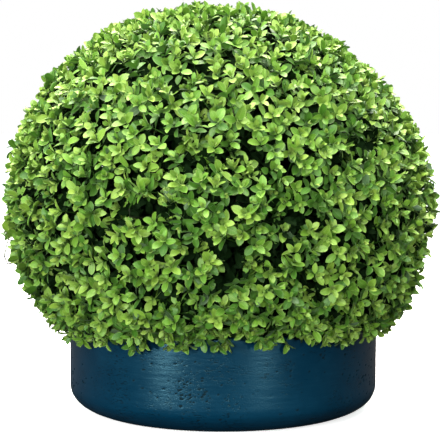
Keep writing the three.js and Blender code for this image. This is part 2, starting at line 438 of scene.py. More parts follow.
def twig_finish(name, shade):
    """Thin stems, mottled along their length."""
    finish = Finish(name, 0.7, 0.15)
    mottle = finish.step(0.35, 0.7, finish.noise(finish.place(), 240, 3))
    dark = [c * 0.45 for c in shade]
    finish.bump(finish.noise(finish.place(), 900), 0.4, 0.0003)
    return finish.paint(finish.mix(mottle, dark, shade))


LEAF_PATCHES = 4  # the map's squares along each side
LEAF_MARGIN = 0.04  # of a square, left round its leaf
# Weights of red, green and blue. The pale weights lighten the veins, and the rim and midrib
# partly as painted highlight.
LEAF_PALE_AND_HIGHLIGHT = (0.5, 0.5, 0.225)
LEAF_DIM = (0.62, 0.74, 0.55)
LEAF_YELLOW = (1.35, 1.02, 0.75)


def leaf_finish(name, base, rim_pale_and_highlight_share, roughness=0.5, specular=0.42, sheen=0.05):
    """A moulded leaf drawn on its own square of the map: rim, midrib, side veins, mottle; rim and
    midrib lightened partly as painted highlight.

    Each square is a leaf a little apart in colour, so neighbours differ.
    """
    finish = Finish(name, roughness, specular)
    finish.shader.inputs["Sheen Weight"].default_value = sheen
    layer = finish.node("ShaderNodeUVMap", {"uv_map": "OFBake"}).outputs["UV"]
    split = finish.node("ShaderNodeSeparateXYZ", {}, (0, layer))
    grid = [finish.times(split.outputs[i], float(LEAF_PATCHES)) for i in (0, 1)]
    across, along = (finish.maths("FRACT", g) for g in grid)
    off_rib = finish.maths("ABSOLUTE", finish.less(across, 0.5))
    off_rib = finish.maths("DIVIDE", off_rib, 0.5 - LEAF_MARGIN)
    corner = [finish.maths("FLOOR", g) for g in grid]
    cell = finish.node("ShaderNodeCombineXYZ", {}, (0, corner[0]), (1, corner[1])).outputs[0]
    chance = finish.node("ShaderNodeTexWhiteNoise", {"noise_dimensions": "2D"}, ("Vector", cell))
    rim = finish.maths(
        "MAXIMUM", finish.step(0.78, 0.94, off_rib), finish.step(0.90, 0.98, along)
    )
    rib = finish.less(1.0, finish.step(0.02, 0.13, off_rib))
    slant = finish.plus(finish.times(along, 52.0), finish.times(off_rib, -9.0))
    vein = finish.times(finish.plus(finish.maths("SINE", slant), 1.0), 0.5)
    vein = finish.maths("POWER", vein, 3.0)
    pale = [c + (1 - c) * max(base) * w for c, w in zip(base, LEAF_PALE_AND_HIGHLIGHT)]
    dim = [c * w for c, w in zip(base, LEAF_DIM)]
    yellow = [c * w for c, w in zip(base, LEAF_YELLOW)]
    painted = finish.mix(chance.outputs["Value"], dim, base)
    hue = finish.node("ShaderNodeSeparateColor", {}, (0, chance.outputs["Color"])).outputs[1]
    root = finish.less(1.0, finish.step(0.04, 0.3, along))
    # The rim and midrib marks are partly the leaf's paler margin and rib, partly painted
    # highlight where light catches them
    for mark, share, tint in (  # each mark, how strong it is, and its colour
        (hue, 0.5, yellow), (vein, 0.16, pale), (rib, 0.32, pale), (rim, rim_pale_and_highlight_share, pale),
        (root, 0.45, dim),
    ):
        painted = finish.mix(finish.times(mark, share), painted, tint)
    height = finish.plus(rim, finish.times(rib, -0.7))
    finish.bump(finish.plus(height, finish.times(vein, -0.25)), 0.5, 0.0004)
    return finish.paint(painted)


# ---- pot and filling ----

POT_COLUMNS = 640
WALL_ROW = 0.0014
PLAIN_ROW = 0.012  # rows under the pot and inside it, which hardly show
PIT_SEED, DRAG_SEED, SWELL_SEED = 31, 5, 6
PATCH_RISE, LESSER_PATCH_RISE = 0.011, 0.009  # how far pits spread up and down
DRAG_SIZE = 0.03
DRAG_SQUASH = (1, 1, 14)  # makes the drag marks level
SWELL_SIZE, SWELL_HEIGHT = 0.12, 0.0006  # a cast wall is never quite true
PEBBLE_SEED, PEBBLE_BUMP_SEED, PEBBLE_BUMP_SIZE = 17, 18, 0.004
FILLING_FALL = 0.004  # from the filling's middle to its edge


def pot_profile():
    """The pot's outline as the CAD node has it, from the middle below to the middle inside."""
    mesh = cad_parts["pot"].data
    spots = {
        v.index: (round(v.co.x, 6), round(v.co.z, 6)) for v in mesh.vertices
        if abs(v.co.y) < 1e-6 and v.co.x > -1e-6
    }
    links = {spot: set() for spot in spots.values()}
    for edge in mesh.edges:
        ends = [spots.get(corner) for corner in edge.vertices]
        if None not in ends and ends[0] != ends[1]:
            links[ends[0]].add(ends[1])
            links[ends[1]].add(ends[0])
    path = [min(links)]
    while True:
        onward = [s for s in links[path[-1]] if s not in path]
        if not onward:
            return np.array(path)
        path.append(min(onward, key=lambda s: math.dist(s, path[-1])))


def resampled(path, step):
    """The same path at even steps, with its corners slightly softened."""
    gone = gone_along(path)
    at = np.linspace(0, gone[-1], max(2, round(gone[-1] / step)))
    return softened(on_path(path, at, gone), 2)


def pit_field(pot, turn, height):
    """How far into a pit each place on the wall is: 0 outside, 1 at the bottom."""
    draw = np.random.default_rng(PIT_SEED)
    patch = pot.pits_clustered
    total = patch + pot.pits_scattered
    top = POT_HIGH[2]
    home_turn = draw.uniform(-math.pi, math.pi, pot.patches)
    home_height = top * (0.15 + 0.7 * draw.beta(1.3, 1.7, pot.patches))
    home = draw.integers(0, pot.patches, total - patch)
    loose = draw.uniform(0.5, 1, total - patch) ** 3 * 3
    at_turn = np.concatenate([
        draw.normal(pot.patch_turn, pot.patch_spread * 0.55, patch),
        home_turn[home] + draw.normal(0, pot.patch_spread * 0.6, total - patch) * loose,
    ])
    at_height = np.concatenate([
        draw.normal(pot.patch_height * top, PATCH_RISE, patch),
        home_height[home] + draw.normal(0, LESSER_PATCH_RISE, total - patch) * loose,
    ])
    wide = pot.pit_width * draw.uniform(0.4, 1.0, total) ** 2
    tall = wide * draw.uniform(0.25, 0.5, total)
    deep = draw.uniform(0.45, 1.0, total)
    slope = draw.normal(0, 0.15, total)
    field = np.zeros_like(turn)
    for i in range(total):
        apart = (turn - at_turn[i] + math.pi) % (2 * math.pi) - math.pi
        level = apart * POT_RADIUS / wide[i]
        rise = (height - at_height[i] - slope[i] * apart * POT_RADIUS) / tall[i]
        ragged = 1 + 0.35 * np.sin(5 * np.arctan2(rise, level) + i)
        field = np.maximum(field, deep[i] * np.exp(-((level ** 2 + rise ** 2) * ragged) ** 1.5))
    return field


def build_pot(pot):
    outline = pot_profile()
    rim = int(outline[:, 1].argmax())
    under = int((outline[:rim, 1] < 1e-6).sum()) - 1
    below = resampled(outline[:under + 1], PLAIN_ROW)[:-1]
    wall_rows = resampled(outline[under:rim + 1], WALL_ROW)
    inside = resampled(outline[rim:], PLAIN_ROW)[1:]
    outside = np.concatenate([below, wall_rows])
    profile = np.concatenate([outside, inside])[1:-1]
    turn = 2 * math.pi * np.arange(POT_COLUMNS) / POT_COLUMNS - math.pi
    around = np.stack([np.sin(turn), -np.cos(turn)], 1)
    radius = np.repeat(profile[:, :1], POT_COLUMNS, 1)
    height = np.repeat(profile[:, 1:], POT_COLUMNS, 1)
    shown = (np.arange(len(profile)) < len(outside) - 1)[:, None]
    wall = smooth_step(0.10, 0.2, height / POT_HIGH[2]) * shown
    pits = pit_field(pot, np.broadcast_to(turn, radius.shape), height) * wall

    def places(radius):
        return np.stack([radius * around[:, 0], radius * around[:, 1], height], -1)

    place = places(radius)
    drag = ripple(place * DRAG_SQUASH, DRAG_SIZE, DRAG_SEED, 40) * pot.drag_depth * wall
    swell = ripple(place, SWELL_SIZE, SWELL_SEED) * SWELL_HEIGHT * wall
    radius = radius - pits * pot.pit_depth * 2 + drag + swell
    corners = places(radius)
    quads = ring_faces(len(profile), POT_COLUMNS).reshape(-1, 4)
    middles = np.array([[0, 0, outline[0, 1]], [0, 0, outline[-1, 1]]])
    ring = np.arange(POT_COLUMNS)
    after = (ring + 1) % POT_COLUMNS
    centre = len(profile) * POT_COLUMNS
    last = centre - POT_COLUMNS
    base = np.stack([np.full(POT_COLUMNS, centre), after, ring], 1)
    floor = np.stack([np.full(POT_COLUMNS, centre + 1), last + ring, last + after], 1)
    piece = mesh_piece(
        "pot_wall", np.concatenate([corners.reshape(-1, 3), middles]),
        [quads, base, floor], clay_finish(pot),
    )
    layer = piece.data.attributes.new("pit", "FLOAT", "POINT")
    layer.data.foreach_set("value", np.append(pits.ravel(), [0, 0]).astype(np.float32))
    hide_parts("pot")


def pebble_shape():
    """A round pebble of radius 1: corners and faces."""
    shape = bmesh.new()
    bmesh.ops.create_icosphere(shape, subdivisions=2, radius=1)
    shape.verts.index_update()
    corners = np.array([v.co for v in shape.verts])
    faces = np.array([[v.index for v in face.verts] for face in shape.faces])
    shape.free()
    return corners, faces


def build_filling(filling):
    material = gravel_finish(filling)
    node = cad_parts["pot_filling"]
    for slot in node.material_slots:
        slot.material = material
    draw = np.random.default_rng(PEBBLE_SEED)
    total = filling.pebbles
    low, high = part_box("pot_filling")
    shape, faces = pebble_shape()
    reach = (high.x - low.x) / 2 - 2 * filling.pebble_size
    out = reach * np.sqrt(draw.uniform(0.05, 1, total))
    turn = draw.uniform(0, 2 * math.pi, total)
    size = filling.pebble_size * draw.uniform(0.55, 1.5, (total, 1))
    size = size * draw.uniform(0.6, 1.1, (total, 3))
    size[:, 2] *= 0.7
    top = high.z - FILLING_FALL * (out / reach) ** 2
    middle = np.stack([out * np.cos(turn), out * np.sin(turn), top + size[:, 2] * 0.3], 1)
    corners = shape[None] * size[:, None, :]
    bumps = ripple(corners + middle[:, None, :], PEBBLE_BUMP_SIZE, PEBBLE_BUMP_SEED)
    corners = corners * (1 + 0.16 * bumps[..., None]) + middle[:, None, :]
    stack = (np.arange(total) * len(shape))[:, None, None] + faces[None]
    piece = mesh_piece("gravel", corners.reshape(-1, 3), [stack.reshape(-1, 3)], material)


# ---- stem, boughs, branches and twigs ----

FEWEST_CORNERS = 5  # fewer in a slice of a limb don't give its middle
BOUGH_SLICES, BOUGH_STEPS = 7, 44
STEM_SLICES, STEM_STEPS = 14, 60
STEM_SEED, BOUGH_SEED, BRANCH_SEED = 3, 40, 61
STEM_FLARE_RISE = 0.07  # share of the stem's height in which its flare fades
STEM_SIDES, BOUGH_SIDES, BRANCH_SIDES, TWIG_SIDES = 28, 14, 7, 4
BARK_RIDGES = 5
KNOT_SIZE = 0.012
BRANCH_STEPS, TWIG_STEPS, SPRAY_STEM_STEPS = 10, 5, 4
BRANCH_THICKEST = 0.0026
BRANCH_WANDER, BRANCH_BEND = 0.004, 0.03  # how far it strays, and over what length
TWIG_RADIUS, SPRAY_STEM_RADIUS = 0.0011, 0.00075


def limb_line(name, slices, steps):
    """The middle line and radii of a CAD limb at even steps, from the end nearer the root."""
    places = np.array([v.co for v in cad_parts[name].data.vertices])
    reach = np.linalg.norm(places - [0, 0, STEM_LOW[2]], axis=1)
    start, end = places[reach.argmin()], places[reach.argmax()]
    chord = end - start
    share = (places - start) @ chord / (chord @ chord)
    edges = np.linspace(share.min(), share.max() + 1e-9, slices + 1)
    middles, radii = [], []
    for low, high in zip(edges[:-1], edges[1:]):
        inside = places[(share >= low) & (share < high)]
        if len(inside) < FEWEST_CORNERS:
            continue
        middle = inside.mean(0)
        off = inside - middle
        off -= np.outer(off @ unit(chord), unit(chord))
        middles.append(middle)
        radii.append(np.linalg.norm(off, axis=1).mean())
    gone = gone_along(middles)
    at = np.linspace(0, gone[-1], steps)
    fine = softened(on_path(np.array(middles), at, gone), 6)
    thick = softened(np.interp(at, gone, radii), 6)
    toward = unit(fine[-1] - fine[-2])
    fine[-1] += toward * max((end - fine[-1]) @ toward, 0) * 0.9
    return fine, thick


def bark_tube(path, radii, sides, relief, seed):
    """A tube whose surface carries lengthwise ridges and knots."""
    corners, faces = tubes(path[None], radii[None], sides)
    ring = np.arange(len(corners)) % sides
    middle = np.repeat(path, sides, 0)
    out = unit(corners - middle)
    gone = np.repeat(np.linspace(0, 1, len(path)), sides)
    ridge = np.sin(ring / sides * 2 * math.pi * BARK_RIDGES + 3 * np.sin(gone * 9 + seed))
    knots = ripple(corners, KNOT_SIZE, seed)
    return corners + out * ((0.5 * ridge + knots) * relief)[:, None], faces


def build_stem(wood):
    path, radii = limb_line("stem", STEM_SLICES, STEM_STEPS)
    path[0, 2] = STEM_LOW[2]
    path[-1, 2] = STEM_HIGH[2]
    rise = (path[:, 2] - STEM_LOW[2]) / (STEM_HIGH[2] - STEM_LOW[2])
    reach = (STEM_HIGH[0] - STEM_LOW[0]) / 2
    radii = radii.min() + (radii[len(radii) // 3] - radii.min()) * (1 - rise)
    radii = radii + (reach - radii[0]) * np.exp(-rise / STEM_FLARE_RISE)
    part = bark_tube(path, radii, STEM_SIDES, wood.relief, STEM_SEED)
    piece = mesh_piece("stem_bark", *part, bark_finish(wood))
    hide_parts("stem")


def build_boughs(wood):
    material = bpy.data.materials.get("bark") or bark_finish(wood)
    for i, name in enumerate(BOUGHS):
        path, radii = limb_line(name, BOUGH_SLICES, BOUGH_STEPS)
        part = bark_tube(path, radii, BOUGH_SIDES, wood.relief * 0.6, BOUGH_SEED + i)
        piece = mesh_piece(f"{name}_bark", *part, material)
        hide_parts(name)


def crown_surface(directions):
    """Where rays from the ball's middle leave the clipped ball, and which way it faces there.

    A ray that misses gives the middle, facing inwards, so that what it is for can be dropped.
    """
    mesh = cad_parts["foliage_ball"].data
    tree = BVHTree.FromPolygons(
        [v.co for v in mesh.vertices], [p.vertices[:] for p in mesh.polygons]
    )
    centre = Vector(BALL_CENTRE)
    reach = BALL_RADIUS * 2
    places, facings = [], []
    for way in directions:
        way = Vector(way)
        place, facing, _, _ = tree.ray_cast(centre + way * reach, -way, reach)
        if place is None:
            place, facing = centre, -way
        places.append(place)
        facings.append(facing)
    return np.array(places), np.array(facings)


def spray_tips(spacing, depth, draw):
    """Even places over the ball, each nudged, with the way that its spray points."""
    total = round(4 * math.pi * BALL_RADIUS ** 2 / (0.9 * spacing ** 2))
    toward = even_directions(total)
    nudge = draw.normal(0, 0.2 * spacing / BALL_RADIUS, (total, 3))
    toward = unit(toward + nudge)
    places, facings = crown_surface(toward)
    facing = unit(0.6 * toward + 0.4 * facings)
    out = np.hypot(places[:, 0], places[:, 1])
    kept = (out > POT_RADIUS + 0.004) | (places[:, 2] > POT_HIGH[2] + 0.02)
    kept &= (facings * toward).sum(1) > -0.2
    places, facing = places[kept], facing[kept]
    return places - facing * depth, facing


def drooping(tips, facing, share):
    """Near the pot's rim a spray hangs down outside the wall, instead of pointing out."""
    level = tips - BALL_CENTRE
    level[:, 2] = 0
    down = unit(unit(level) * 0.45 + [0, 0, -1])
    near = 1 - smooth_step(BALL_LOW[2] + 0.006, POT_HIGH[2] + 0.03, tips[:, 2])
    near = (near * share)[:, None]
    return unit(facing * (1 - near) + down * near)


def branch_ends(wood):
    """Places inside the ball where branches end and twigs begin."""
    toward = even_directions(wood.branches)
    places, _ = crown_surface(toward)
    ends = BALL_CENTRE + (places - BALL_CENTRE) * wood.branch_depth
    kept = np.linalg.norm(places - BALL_CENTRE, axis=1) > BALL_RADIUS * 0.5
    ends, toward = ends[kept], toward[kept]
    over = POT_HIGH[2] + 0.012
    beside = np.hypot(ends[:, 0], ends[:, 1]) < POT_RADIUS * 1.08
    ends[:, 2] = np.where(beside, np.maximum(ends[:, 2], over), ends[:, 2])
    return ends, toward


def build_branches(wood):
    ends, toward = branch_ends(wood)
    lines = [limb_line(name, BOUGH_SLICES, BOUGH_STEPS) for name in BOUGHS]
    half = BOUGH_STEPS // 2
    outer = [(path[half:], radii[half:]) for path, radii in lines]
    spots = np.concatenate([path for path, _ in outer])
    ways = np.concatenate([unit(np.gradient(path, axis=0)) for path, _ in outer])
    girth = np.concatenate([radii for _, radii in outer])
    apart = np.linalg.norm(ends[:, None] - spots[None], axis=2)
    ahead = ((ends[:, None] - spots[None]) * ways[None]).sum(2)
    nearest = (apart - 0.5 * ahead).argmin(1)
    starts = spots[nearest]
    straight = unit(ends - starts)
    leave = unit(ways[nearest] + 0.6 * straight)
    paths = bent(starts, ends, leave, unit(toward + 0.5 * straight), BRANCH_STEPS)
    sideways = unit(np.cross(leave, toward))[:, None, :]
    wander = ripple(paths, BRANCH_BEND, BRANCH_SEED)[..., None] * sideways
    share = np.linspace(0, 1, BRANCH_STEPS)
    paths += wander * (BRANCH_WANDER * np.sin(math.pi * share))[:, None]
    thick = np.minimum(girth[nearest] * 0.62, BRANCH_THICKEST)
    corners, faces = tubes(paths, thick[:, None] * (1 - 0.5 * share), BRANCH_SIDES)
    piece = mesh_piece("branches", corners, faces, twig_finish("branch bark", wood.bark))
    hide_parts("foliage_ball")


# ---- sprays of leaves ----

LEAF_STATIONS = np.array([0.0, 0.10, 0.28, 0.50, 0.72, 0.90, 1.0])
LEAF_HALF_WIDTHS = np.array([0.12, 0.44, 0.85, 1.0, 0.90, 0.55, 0.06])
ALL_STATIONS = [0, 1, 2, 3, 4, 5, 6]
FEW_STATIONS = [0, 2, 4, 6]
POT_MARGIN = 0.001  # left between a leaf and the pot
SPRAY_LENGTH = 0.026
SPRAY_DEPTH, SHADE_DEPTHS = 0.004, (0.021, 0.044)  # tips under the ball's clipped face
SHADE_SPREADS = (1.0, 1.15)  # the deepest leaves are larger and further apart
SHORT_SPRAYS = (0.009, 0.021)  # how far sprays at thin places stop short
STRAY_SHARE, LOST_SHARE = 0.05, 0.02
DROOP, SHADE_DROOP = 0.75, 0.8
DEPTH_SPREAD = 0.003
THIN_PLACE_SIZE = 0.05
TURN_SPREAD, PITCH_SPREAD, ROLL_SPREAD = 0.16, 0.2, 0.32  # of single leaves, in radians
SIZE_SPREAD = 0.09
HEM_OUT, HEM_DEPTH, HEM_RISE = 0.012, 0.012, (-0.002, 0.014)
MOODS = ("bright", "middle", "deep", "grey")
BRIGHT, DEEP, GREY = 0, 2, 3  # places in MOODS
MOOD_SHARES = (0.46, 0.42, 0.12)
# How strongly the rim is lightened: partly a paler margin, partly painted highlight
RIM_SHARE, YOUNG_RIM_SHARE, SHADE_RIM_SHARE = 0.6, 0.5, 0.1


def leaf_shape(cup, curl, twist):
    """One leaf of unit length and half width 1: corners along its rib and both edges.

    Axes are across, along and up. The leaf is fullest past its middle, with a blunt tip. cup
    lifts its edges, curl bends its tip down, and twist turns it about its rib.
    """
    t = LEAF_STATIONS
    corners = []
    for side in (-1, 0, 1):
        across = side * LEAF_HALF_WIDTHS
        up = cup * np.abs(across) ** 1.5 - curl * t ** 2 + twist * across * t
        corners.append(np.stack([across, t, up], 1))
    return np.stack(corners, 1).reshape(-1, 3)


def leaf_faces(stations):
    row = 3 * np.arange(len(stations) - 1)
    halves = [np.stack([row + k, row + k + 1, row + k + 4, row + k + 3], 1) for k in (0, 1)]
    return np.concatenate(halves)


def leaf_patch(stations):
    """Each corner's place on a leaf's own patch of the map."""
    along = LEAF_MARGIN + (1 - 2 * LEAF_MARGIN) * LEAF_STATIONS[stations]
    across = np.array([LEAF_MARGIN, 0.5, 1 - LEAF_MARGIN])
    return np.stack([
        np.tile(across, len(along)), np.repeat(along, len(across)),
    ], 1)


LEAF_FORMS = np.stack([
    leaf_shape(cup, curl, twist)
    for cup, curl, twist in (
        (0.16, 0.10, 0.0), (0.24, 0.16, 0.12), (0.20, 0.02, -0.10),
        (0.10, 0.24, 0.05), (0.28, -0.04, 0.08), (0.18, 0.30, -0.14),
    )
])


def frame_of(axis, draw):
    """Two directions square to each axis, turned at random about it."""
    least = np.eye(3)[np.abs(axis).argmin(1)]
    first = unit(np.cross(axis, least))
    second = np.cross(axis, first)
    turn = draw.uniform(0, 2 * math.pi, (len(axis), 1))
    return (
        first * np.cos(turn) + second * np.sin(turn),
        second * np.cos(turn) - first * np.sin(turn),
    )


def grow_leaves(leaf, tips, axis, pairs, sizes, pitches, drops, draw):
    """Pairs of leaves down each spray, each pair turned square to the last.

    Gives arrays of where each leaf is rooted, the ways that it points and faces, its size,
    width and form, and which pair it is of.
    """
    leaves = []
    first, second = frame_of(axis, draw)
    total = len(tips)
    for j in range(pairs):
        for side in (0, 1):
            turn = (j % 2) * math.pi / 2 + side * math.pi + draw.normal(0, TURN_SPREAD, total)
            out = first * np.cos(turn)[:, None] + second * np.sin(turn)[:, None]
            pitch = pitches[j] + draw.normal(0, PITCH_SPREAD, total)
            along = axis * np.cos(pitch)[:, None] + out * np.sin(pitch)[:, None]
            up = axis * np.sin(pitch)[:, None] - out * np.cos(pitch)[:, None]
            roll = draw.normal(0, ROLL_SPREAD, total)[:, None]
            up = unit(up * np.cos(roll) + np.cross(along, up) * np.sin(roll))
            size = leaf.leaf_length * sizes[j] * draw.normal(1, SIZE_SPREAD, total)
            width = leaf.leaf_width / leaf.leaf_length * draw.normal(1, SIZE_SPREAD, total)
            root = tips - axis * (drops[j] + draw.normal(0, 0.0004, total))[:, None]
            root = root + out * 0.0004
            form = draw.integers(0, len(LEAF_FORMS), total)
            leaves.append((root, along, up, size, width, form, np.full(total, j)))
    return [np.concatenate(group) for group in zip(*leaves)]


def leaf_piece(name, chosen, material, draw, stations=ALL_STATIONS):
    """Joins leaves into one piece. Leaves that would stand in the pot's wall are left out."""
    root, along, up, size, width, form = chosen
    across = np.cross(along, up)
    forms = len(LEAF_FORMS)
    shape = LEAF_FORMS.reshape(forms, -1, 3, 3)[:, stations].reshape(forms, -1, 3)
    shape = shape[form] * np.array([0.5, 1, 1])
    shape[:, :, 0] *= width[:, None]
    shape[:, :, 2] *= width[:, None]
    local = shape * size[:, None, None]
    corners = (
        root[:, None, :] + local[..., :1] * across[:, None, :]
        + local[..., 1:2] * along[:, None, :] + local[..., 2:] * up[:, None, :]
    )
    out = np.hypot(corners[..., 0], corners[..., 1])
    inside = (out < POT_RADIUS + POT_MARGIN) & (corners[..., 2] < POT_HIGH[2] + POT_MARGIN)
    corners = corners[~inside.any(1)]
    total = len(corners)
    patch = (draw.integers(0, LEAF_PATCHES, (total, 1, 2)) + leaf_patch(stations)) / LEAF_PATCHES
    stack = (np.arange(total) * shape.shape[1])[:, None, None] + leaf_faces(stations)[None]
    piece = mesh_piece(
        name, corners.reshape(-1, 3), [stack.reshape(-1, 4)], material, patch.reshape(-1, 2)
    )
    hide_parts("foliage_ball")


def hem_tips(leaf, draw):
    """More sprays just over the pot's rim, so that the ball's hem hangs full."""
    around = round(2 * math.pi * POT_RADIUS * 1.08 / leaf.spacing)
    turn = 2 * math.pi * (np.arange(2 * around) + draw.uniform(-0.3, 0.3, 2 * around)) / around
    out = POT_RADIUS + HEM_OUT + draw.uniform(0, HEM_DEPTH, 2 * around)
    height = POT_HIGH[2] + draw.uniform(*HEM_RISE, 2 * around)
    tips = np.stack([out * np.sin(turn), -out * np.cos(turn), height], 1)
    facing = unit(np.stack([np.sin(turn), -np.cos(turn), 0 * turn], 1) - [0, 0, 0.6])
    return tips, facing


def spray_places(leaf):
    """Every outer spray's tip and axis, the same each time it is asked for."""
    draw = np.random.default_rng(leaf.seed)
    tips, facing = spray_tips(leaf.spacing, SPRAY_DEPTH, draw)
    hem, hem_facing = hem_tips(leaf, draw)
    tips, facing = np.concatenate([tips, hem]), np.concatenate([facing, hem_facing])
    total = len(tips)
    lift = leaf.lift * (0.2 + np.maximum(-facing[:, 2:], 0)) * [0, 0, 1]
    axis = unit(facing + leaf.lean * draw.normal(0, 1, (total, 3)) + lift)
    axis = drooping(tips, axis, DROOP)
    depth = np.abs(draw.normal(0, DEPTH_SPREAD, total))
    chance = draw.uniform(0, 1, total)
    sparse = 1 + 1.3 * ripple(tips, THIN_PLACE_SIZE, leaf.seed + 3)
    sparse = sparse * (1 - 0.8 * smooth_step(0.45, 0.9, facing[:, 2]))
    short = draw.uniform(*SHORT_SPRAYS, total)
    depth = np.where(chance < leaf.thin * sparse, short, depth)
    out = np.where(chance > 1 - STRAY_SHARE, draw.uniform(0.3, 1.0, total) * leaf.stray, 0)
    tips = tips + axis * (out - depth)[:, None]
    return tips, axis


def build_twigs(wood, leaf):
    """A twig from the nearest branch end to each spray, and the spray's own stem."""
    tips, axis = spray_places(leaf)
    ends, toward = branch_ends(wood)
    foot = tips - axis * SPRAY_LENGTH
    nearest = np.linalg.norm(foot[:, None] - ends[None], axis=2).argmin(1)
    leave = unit(toward[nearest] + unit(foot - ends[nearest]))
    paths = bent(ends[nearest], foot, leave, axis, TWIG_STEPS)
    radii = np.full((len(foot), 1), TWIG_RADIUS) * np.linspace(1, 0.7, TWIG_STEPS)
    twigs = tubes(paths, radii, TWIG_SIDES)
    # The twig colour is partly painted shade for the ball's dark inside
    piece = mesh_piece("twigs", *twigs, twig_finish("twig bark", wood.twig))
    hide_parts("foliage_ball")
    share = np.linspace(0, 1, SPRAY_STEM_STEPS)
    paths = foot[:, None] + axis[:, None] * (share * (SPRAY_LENGTH - 0.001))[:, None]
    radii = np.full((len(foot), 1), SPRAY_STEM_RADIUS) * (1 - 0.5 * share)
    stems = tubes(paths, radii, TWIG_SIDES)
    green = [0.5 * c for c in leaf.deep]
    piece = mesh_piece("spray_stems", *stems, twig_finish("green stem", green))
    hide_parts("foliage_ball")


def build_sprays(leaf):
    tips, axis = spray_places(leaf)
    draw = np.random.default_rng(leaf.seed + 1)
    steps = np.arange(leaf.pairs)
    drops = 0.0004 + 0.0011 * steps ** 1.6
    sizes = np.minimum(1, 0.52 + 0.26 * steps)
    pitches = np.radians(np.minimum(18 + 17 * steps, 80))
    *single, pair = grow_leaves(leaf, tips, axis, leaf.pairs, sizes, pitches, drops, draw)
    spray = np.tile(np.arange(len(tips)), 2 * leaf.pairs)
    mood = draw.choice(len(MOOD_SHARES), len(tips), p=MOOD_SHARES)[spray]
    # Painted shade: the lower pairs down each spray, shaded by the leaves above, take a deeper
    # colour
    mood = np.where((pair == 3) & (mood < DEEP), mood + 1, mood)
    mood = np.where(pair > 3, DEEP, mood)
    mood = np.where(draw.uniform(0, 1, len(spray)) < leaf.dull, GREY, mood)
    young = ((pair == 0) & (mood < GREY)) | ((pair == 1) & (mood == BRIGHT))
    kept = draw.uniform(0, 1, len(spray)) > LOST_SHARE
    groups = {"young": young}
    groups.update((word, (mood == k) & ~young) for k, word in enumerate(MOODS))
    for word, group in groups.items():
        chosen = group & kept
        rim = YOUNG_RIM_SHARE if word == "young" else RIM_SHARE
        material = leaf_finish(f"{word} leaf", getattr(leaf, word), rim)
        leaf_piece(f"leaves_{word}", [a[chosen] for a in single], material, draw)


def build_shade_leaves(leaf):
    """Older leaves under the outer sprays, coloured near black as painted shade, for little light
    reaches them.
    """
    draw = np.random.default_rng(leaf.seed + 2)
    # Painted shade: the inner leaves take the near-black colour
    material = leaf_finish(
        "old leaf", leaf.old, SHADE_RIM_SHARE, roughness=0.8, specular=0.08, sheen=0.0
    )
    sizes, pitches = [1.0, 1.3, 1.4], np.radians([45, 68, 85])
    drops = [0.0, 0.004, 0.009]
    for name, depth, spread in zip(("leaves_old", "leaves_oldest"), SHADE_DEPTHS, SHADE_SPREADS):
        tips, facing = spray_tips(leaf.inner_spacing * spread, depth, draw)
        axis = drooping(tips, unit(facing + 0.5 * draw.normal(0, 1, facing.shape)), SHADE_DROOP)
        *single, _ = grow_leaves(leaf, tips, axis, 3, sizes, pitches, drops, draw)
        single[3] = single[3] * spread
        leaf_piece(name, single, material, draw, FEW_STATIONS)


# ---- stage ----

CAMERA_SHIFT = -0.0075
SKY_SLOPE = (-0.1, 0.0, 1.0)  # the way that the sky grows brighter
SKY_START = 0.08  # how far up that slope it begins to shine
SKY_TINT = (0.84, 1.0, 0.90)
WARM = (1.0, 0.88, 0.84)
PLAIN = (1.0, 1.0, 1.0)
FLOOR_BOUNCE = (0.03, 0.03, 0.03)
FLOOR_SIDES = 96
FLOOR_REACH = 60  # in half widths of the ball
FLOOR_GAP = 0.0002  # under the pot's foot
# Each light: degrees round from the front, degrees up, metres off, its two sides, watts, tint
SOFTBOXES = {
    "overhead softbox": (-12, 84, 1.7, (2.3, 2.3), 150, WARM),
    "back softbox": (180, 68, 1.8, (1.4, 1.4), 95, WARM),
    "left softbox": (-24, 62, 2.0, (0.8, 0.8), 26, WARM),
    "front softbox": (-12, 9, 2.2, (0.7, 0.3), 29, PLAIN),
    "left strip": (-38.5, -2.4, 1.9, (0.26, 0.30), 27, PLAIN),
    "right strip": (25.3, -2.4, 1.9, (0.20, 0.30), 13, PLAIN),
}


def way_to(turn, elevation):
    """The direction at a turn round from the front and an elevation above level."""
    level = math.cos(elevation)
    return Vector((math.sin(turn) * level, -math.cos(turn) * level, math.sin(elevation)))


def softbox(name, aim, turn, elevation, distance, size, watts, tint):
    """A rectangular light that looks at aim."""
    light = bpy.data.lights.new(name, "AREA")
    light.shape = "RECTANGLE"
    light.size, light.size_y = size
    light.energy = watts
    light.color = tint
    lamp = bpy.data.objects.new(name, light)
    toward = way_to(math.radians(turn), math.radians(elevation))
    lamp.location = Vector(aim) + toward * distance
    lamp.rotation_euler = toward.to_track_quat("Z", "Y").to_euler()
    bpy.context.scene.collection.objects.link(lamp)


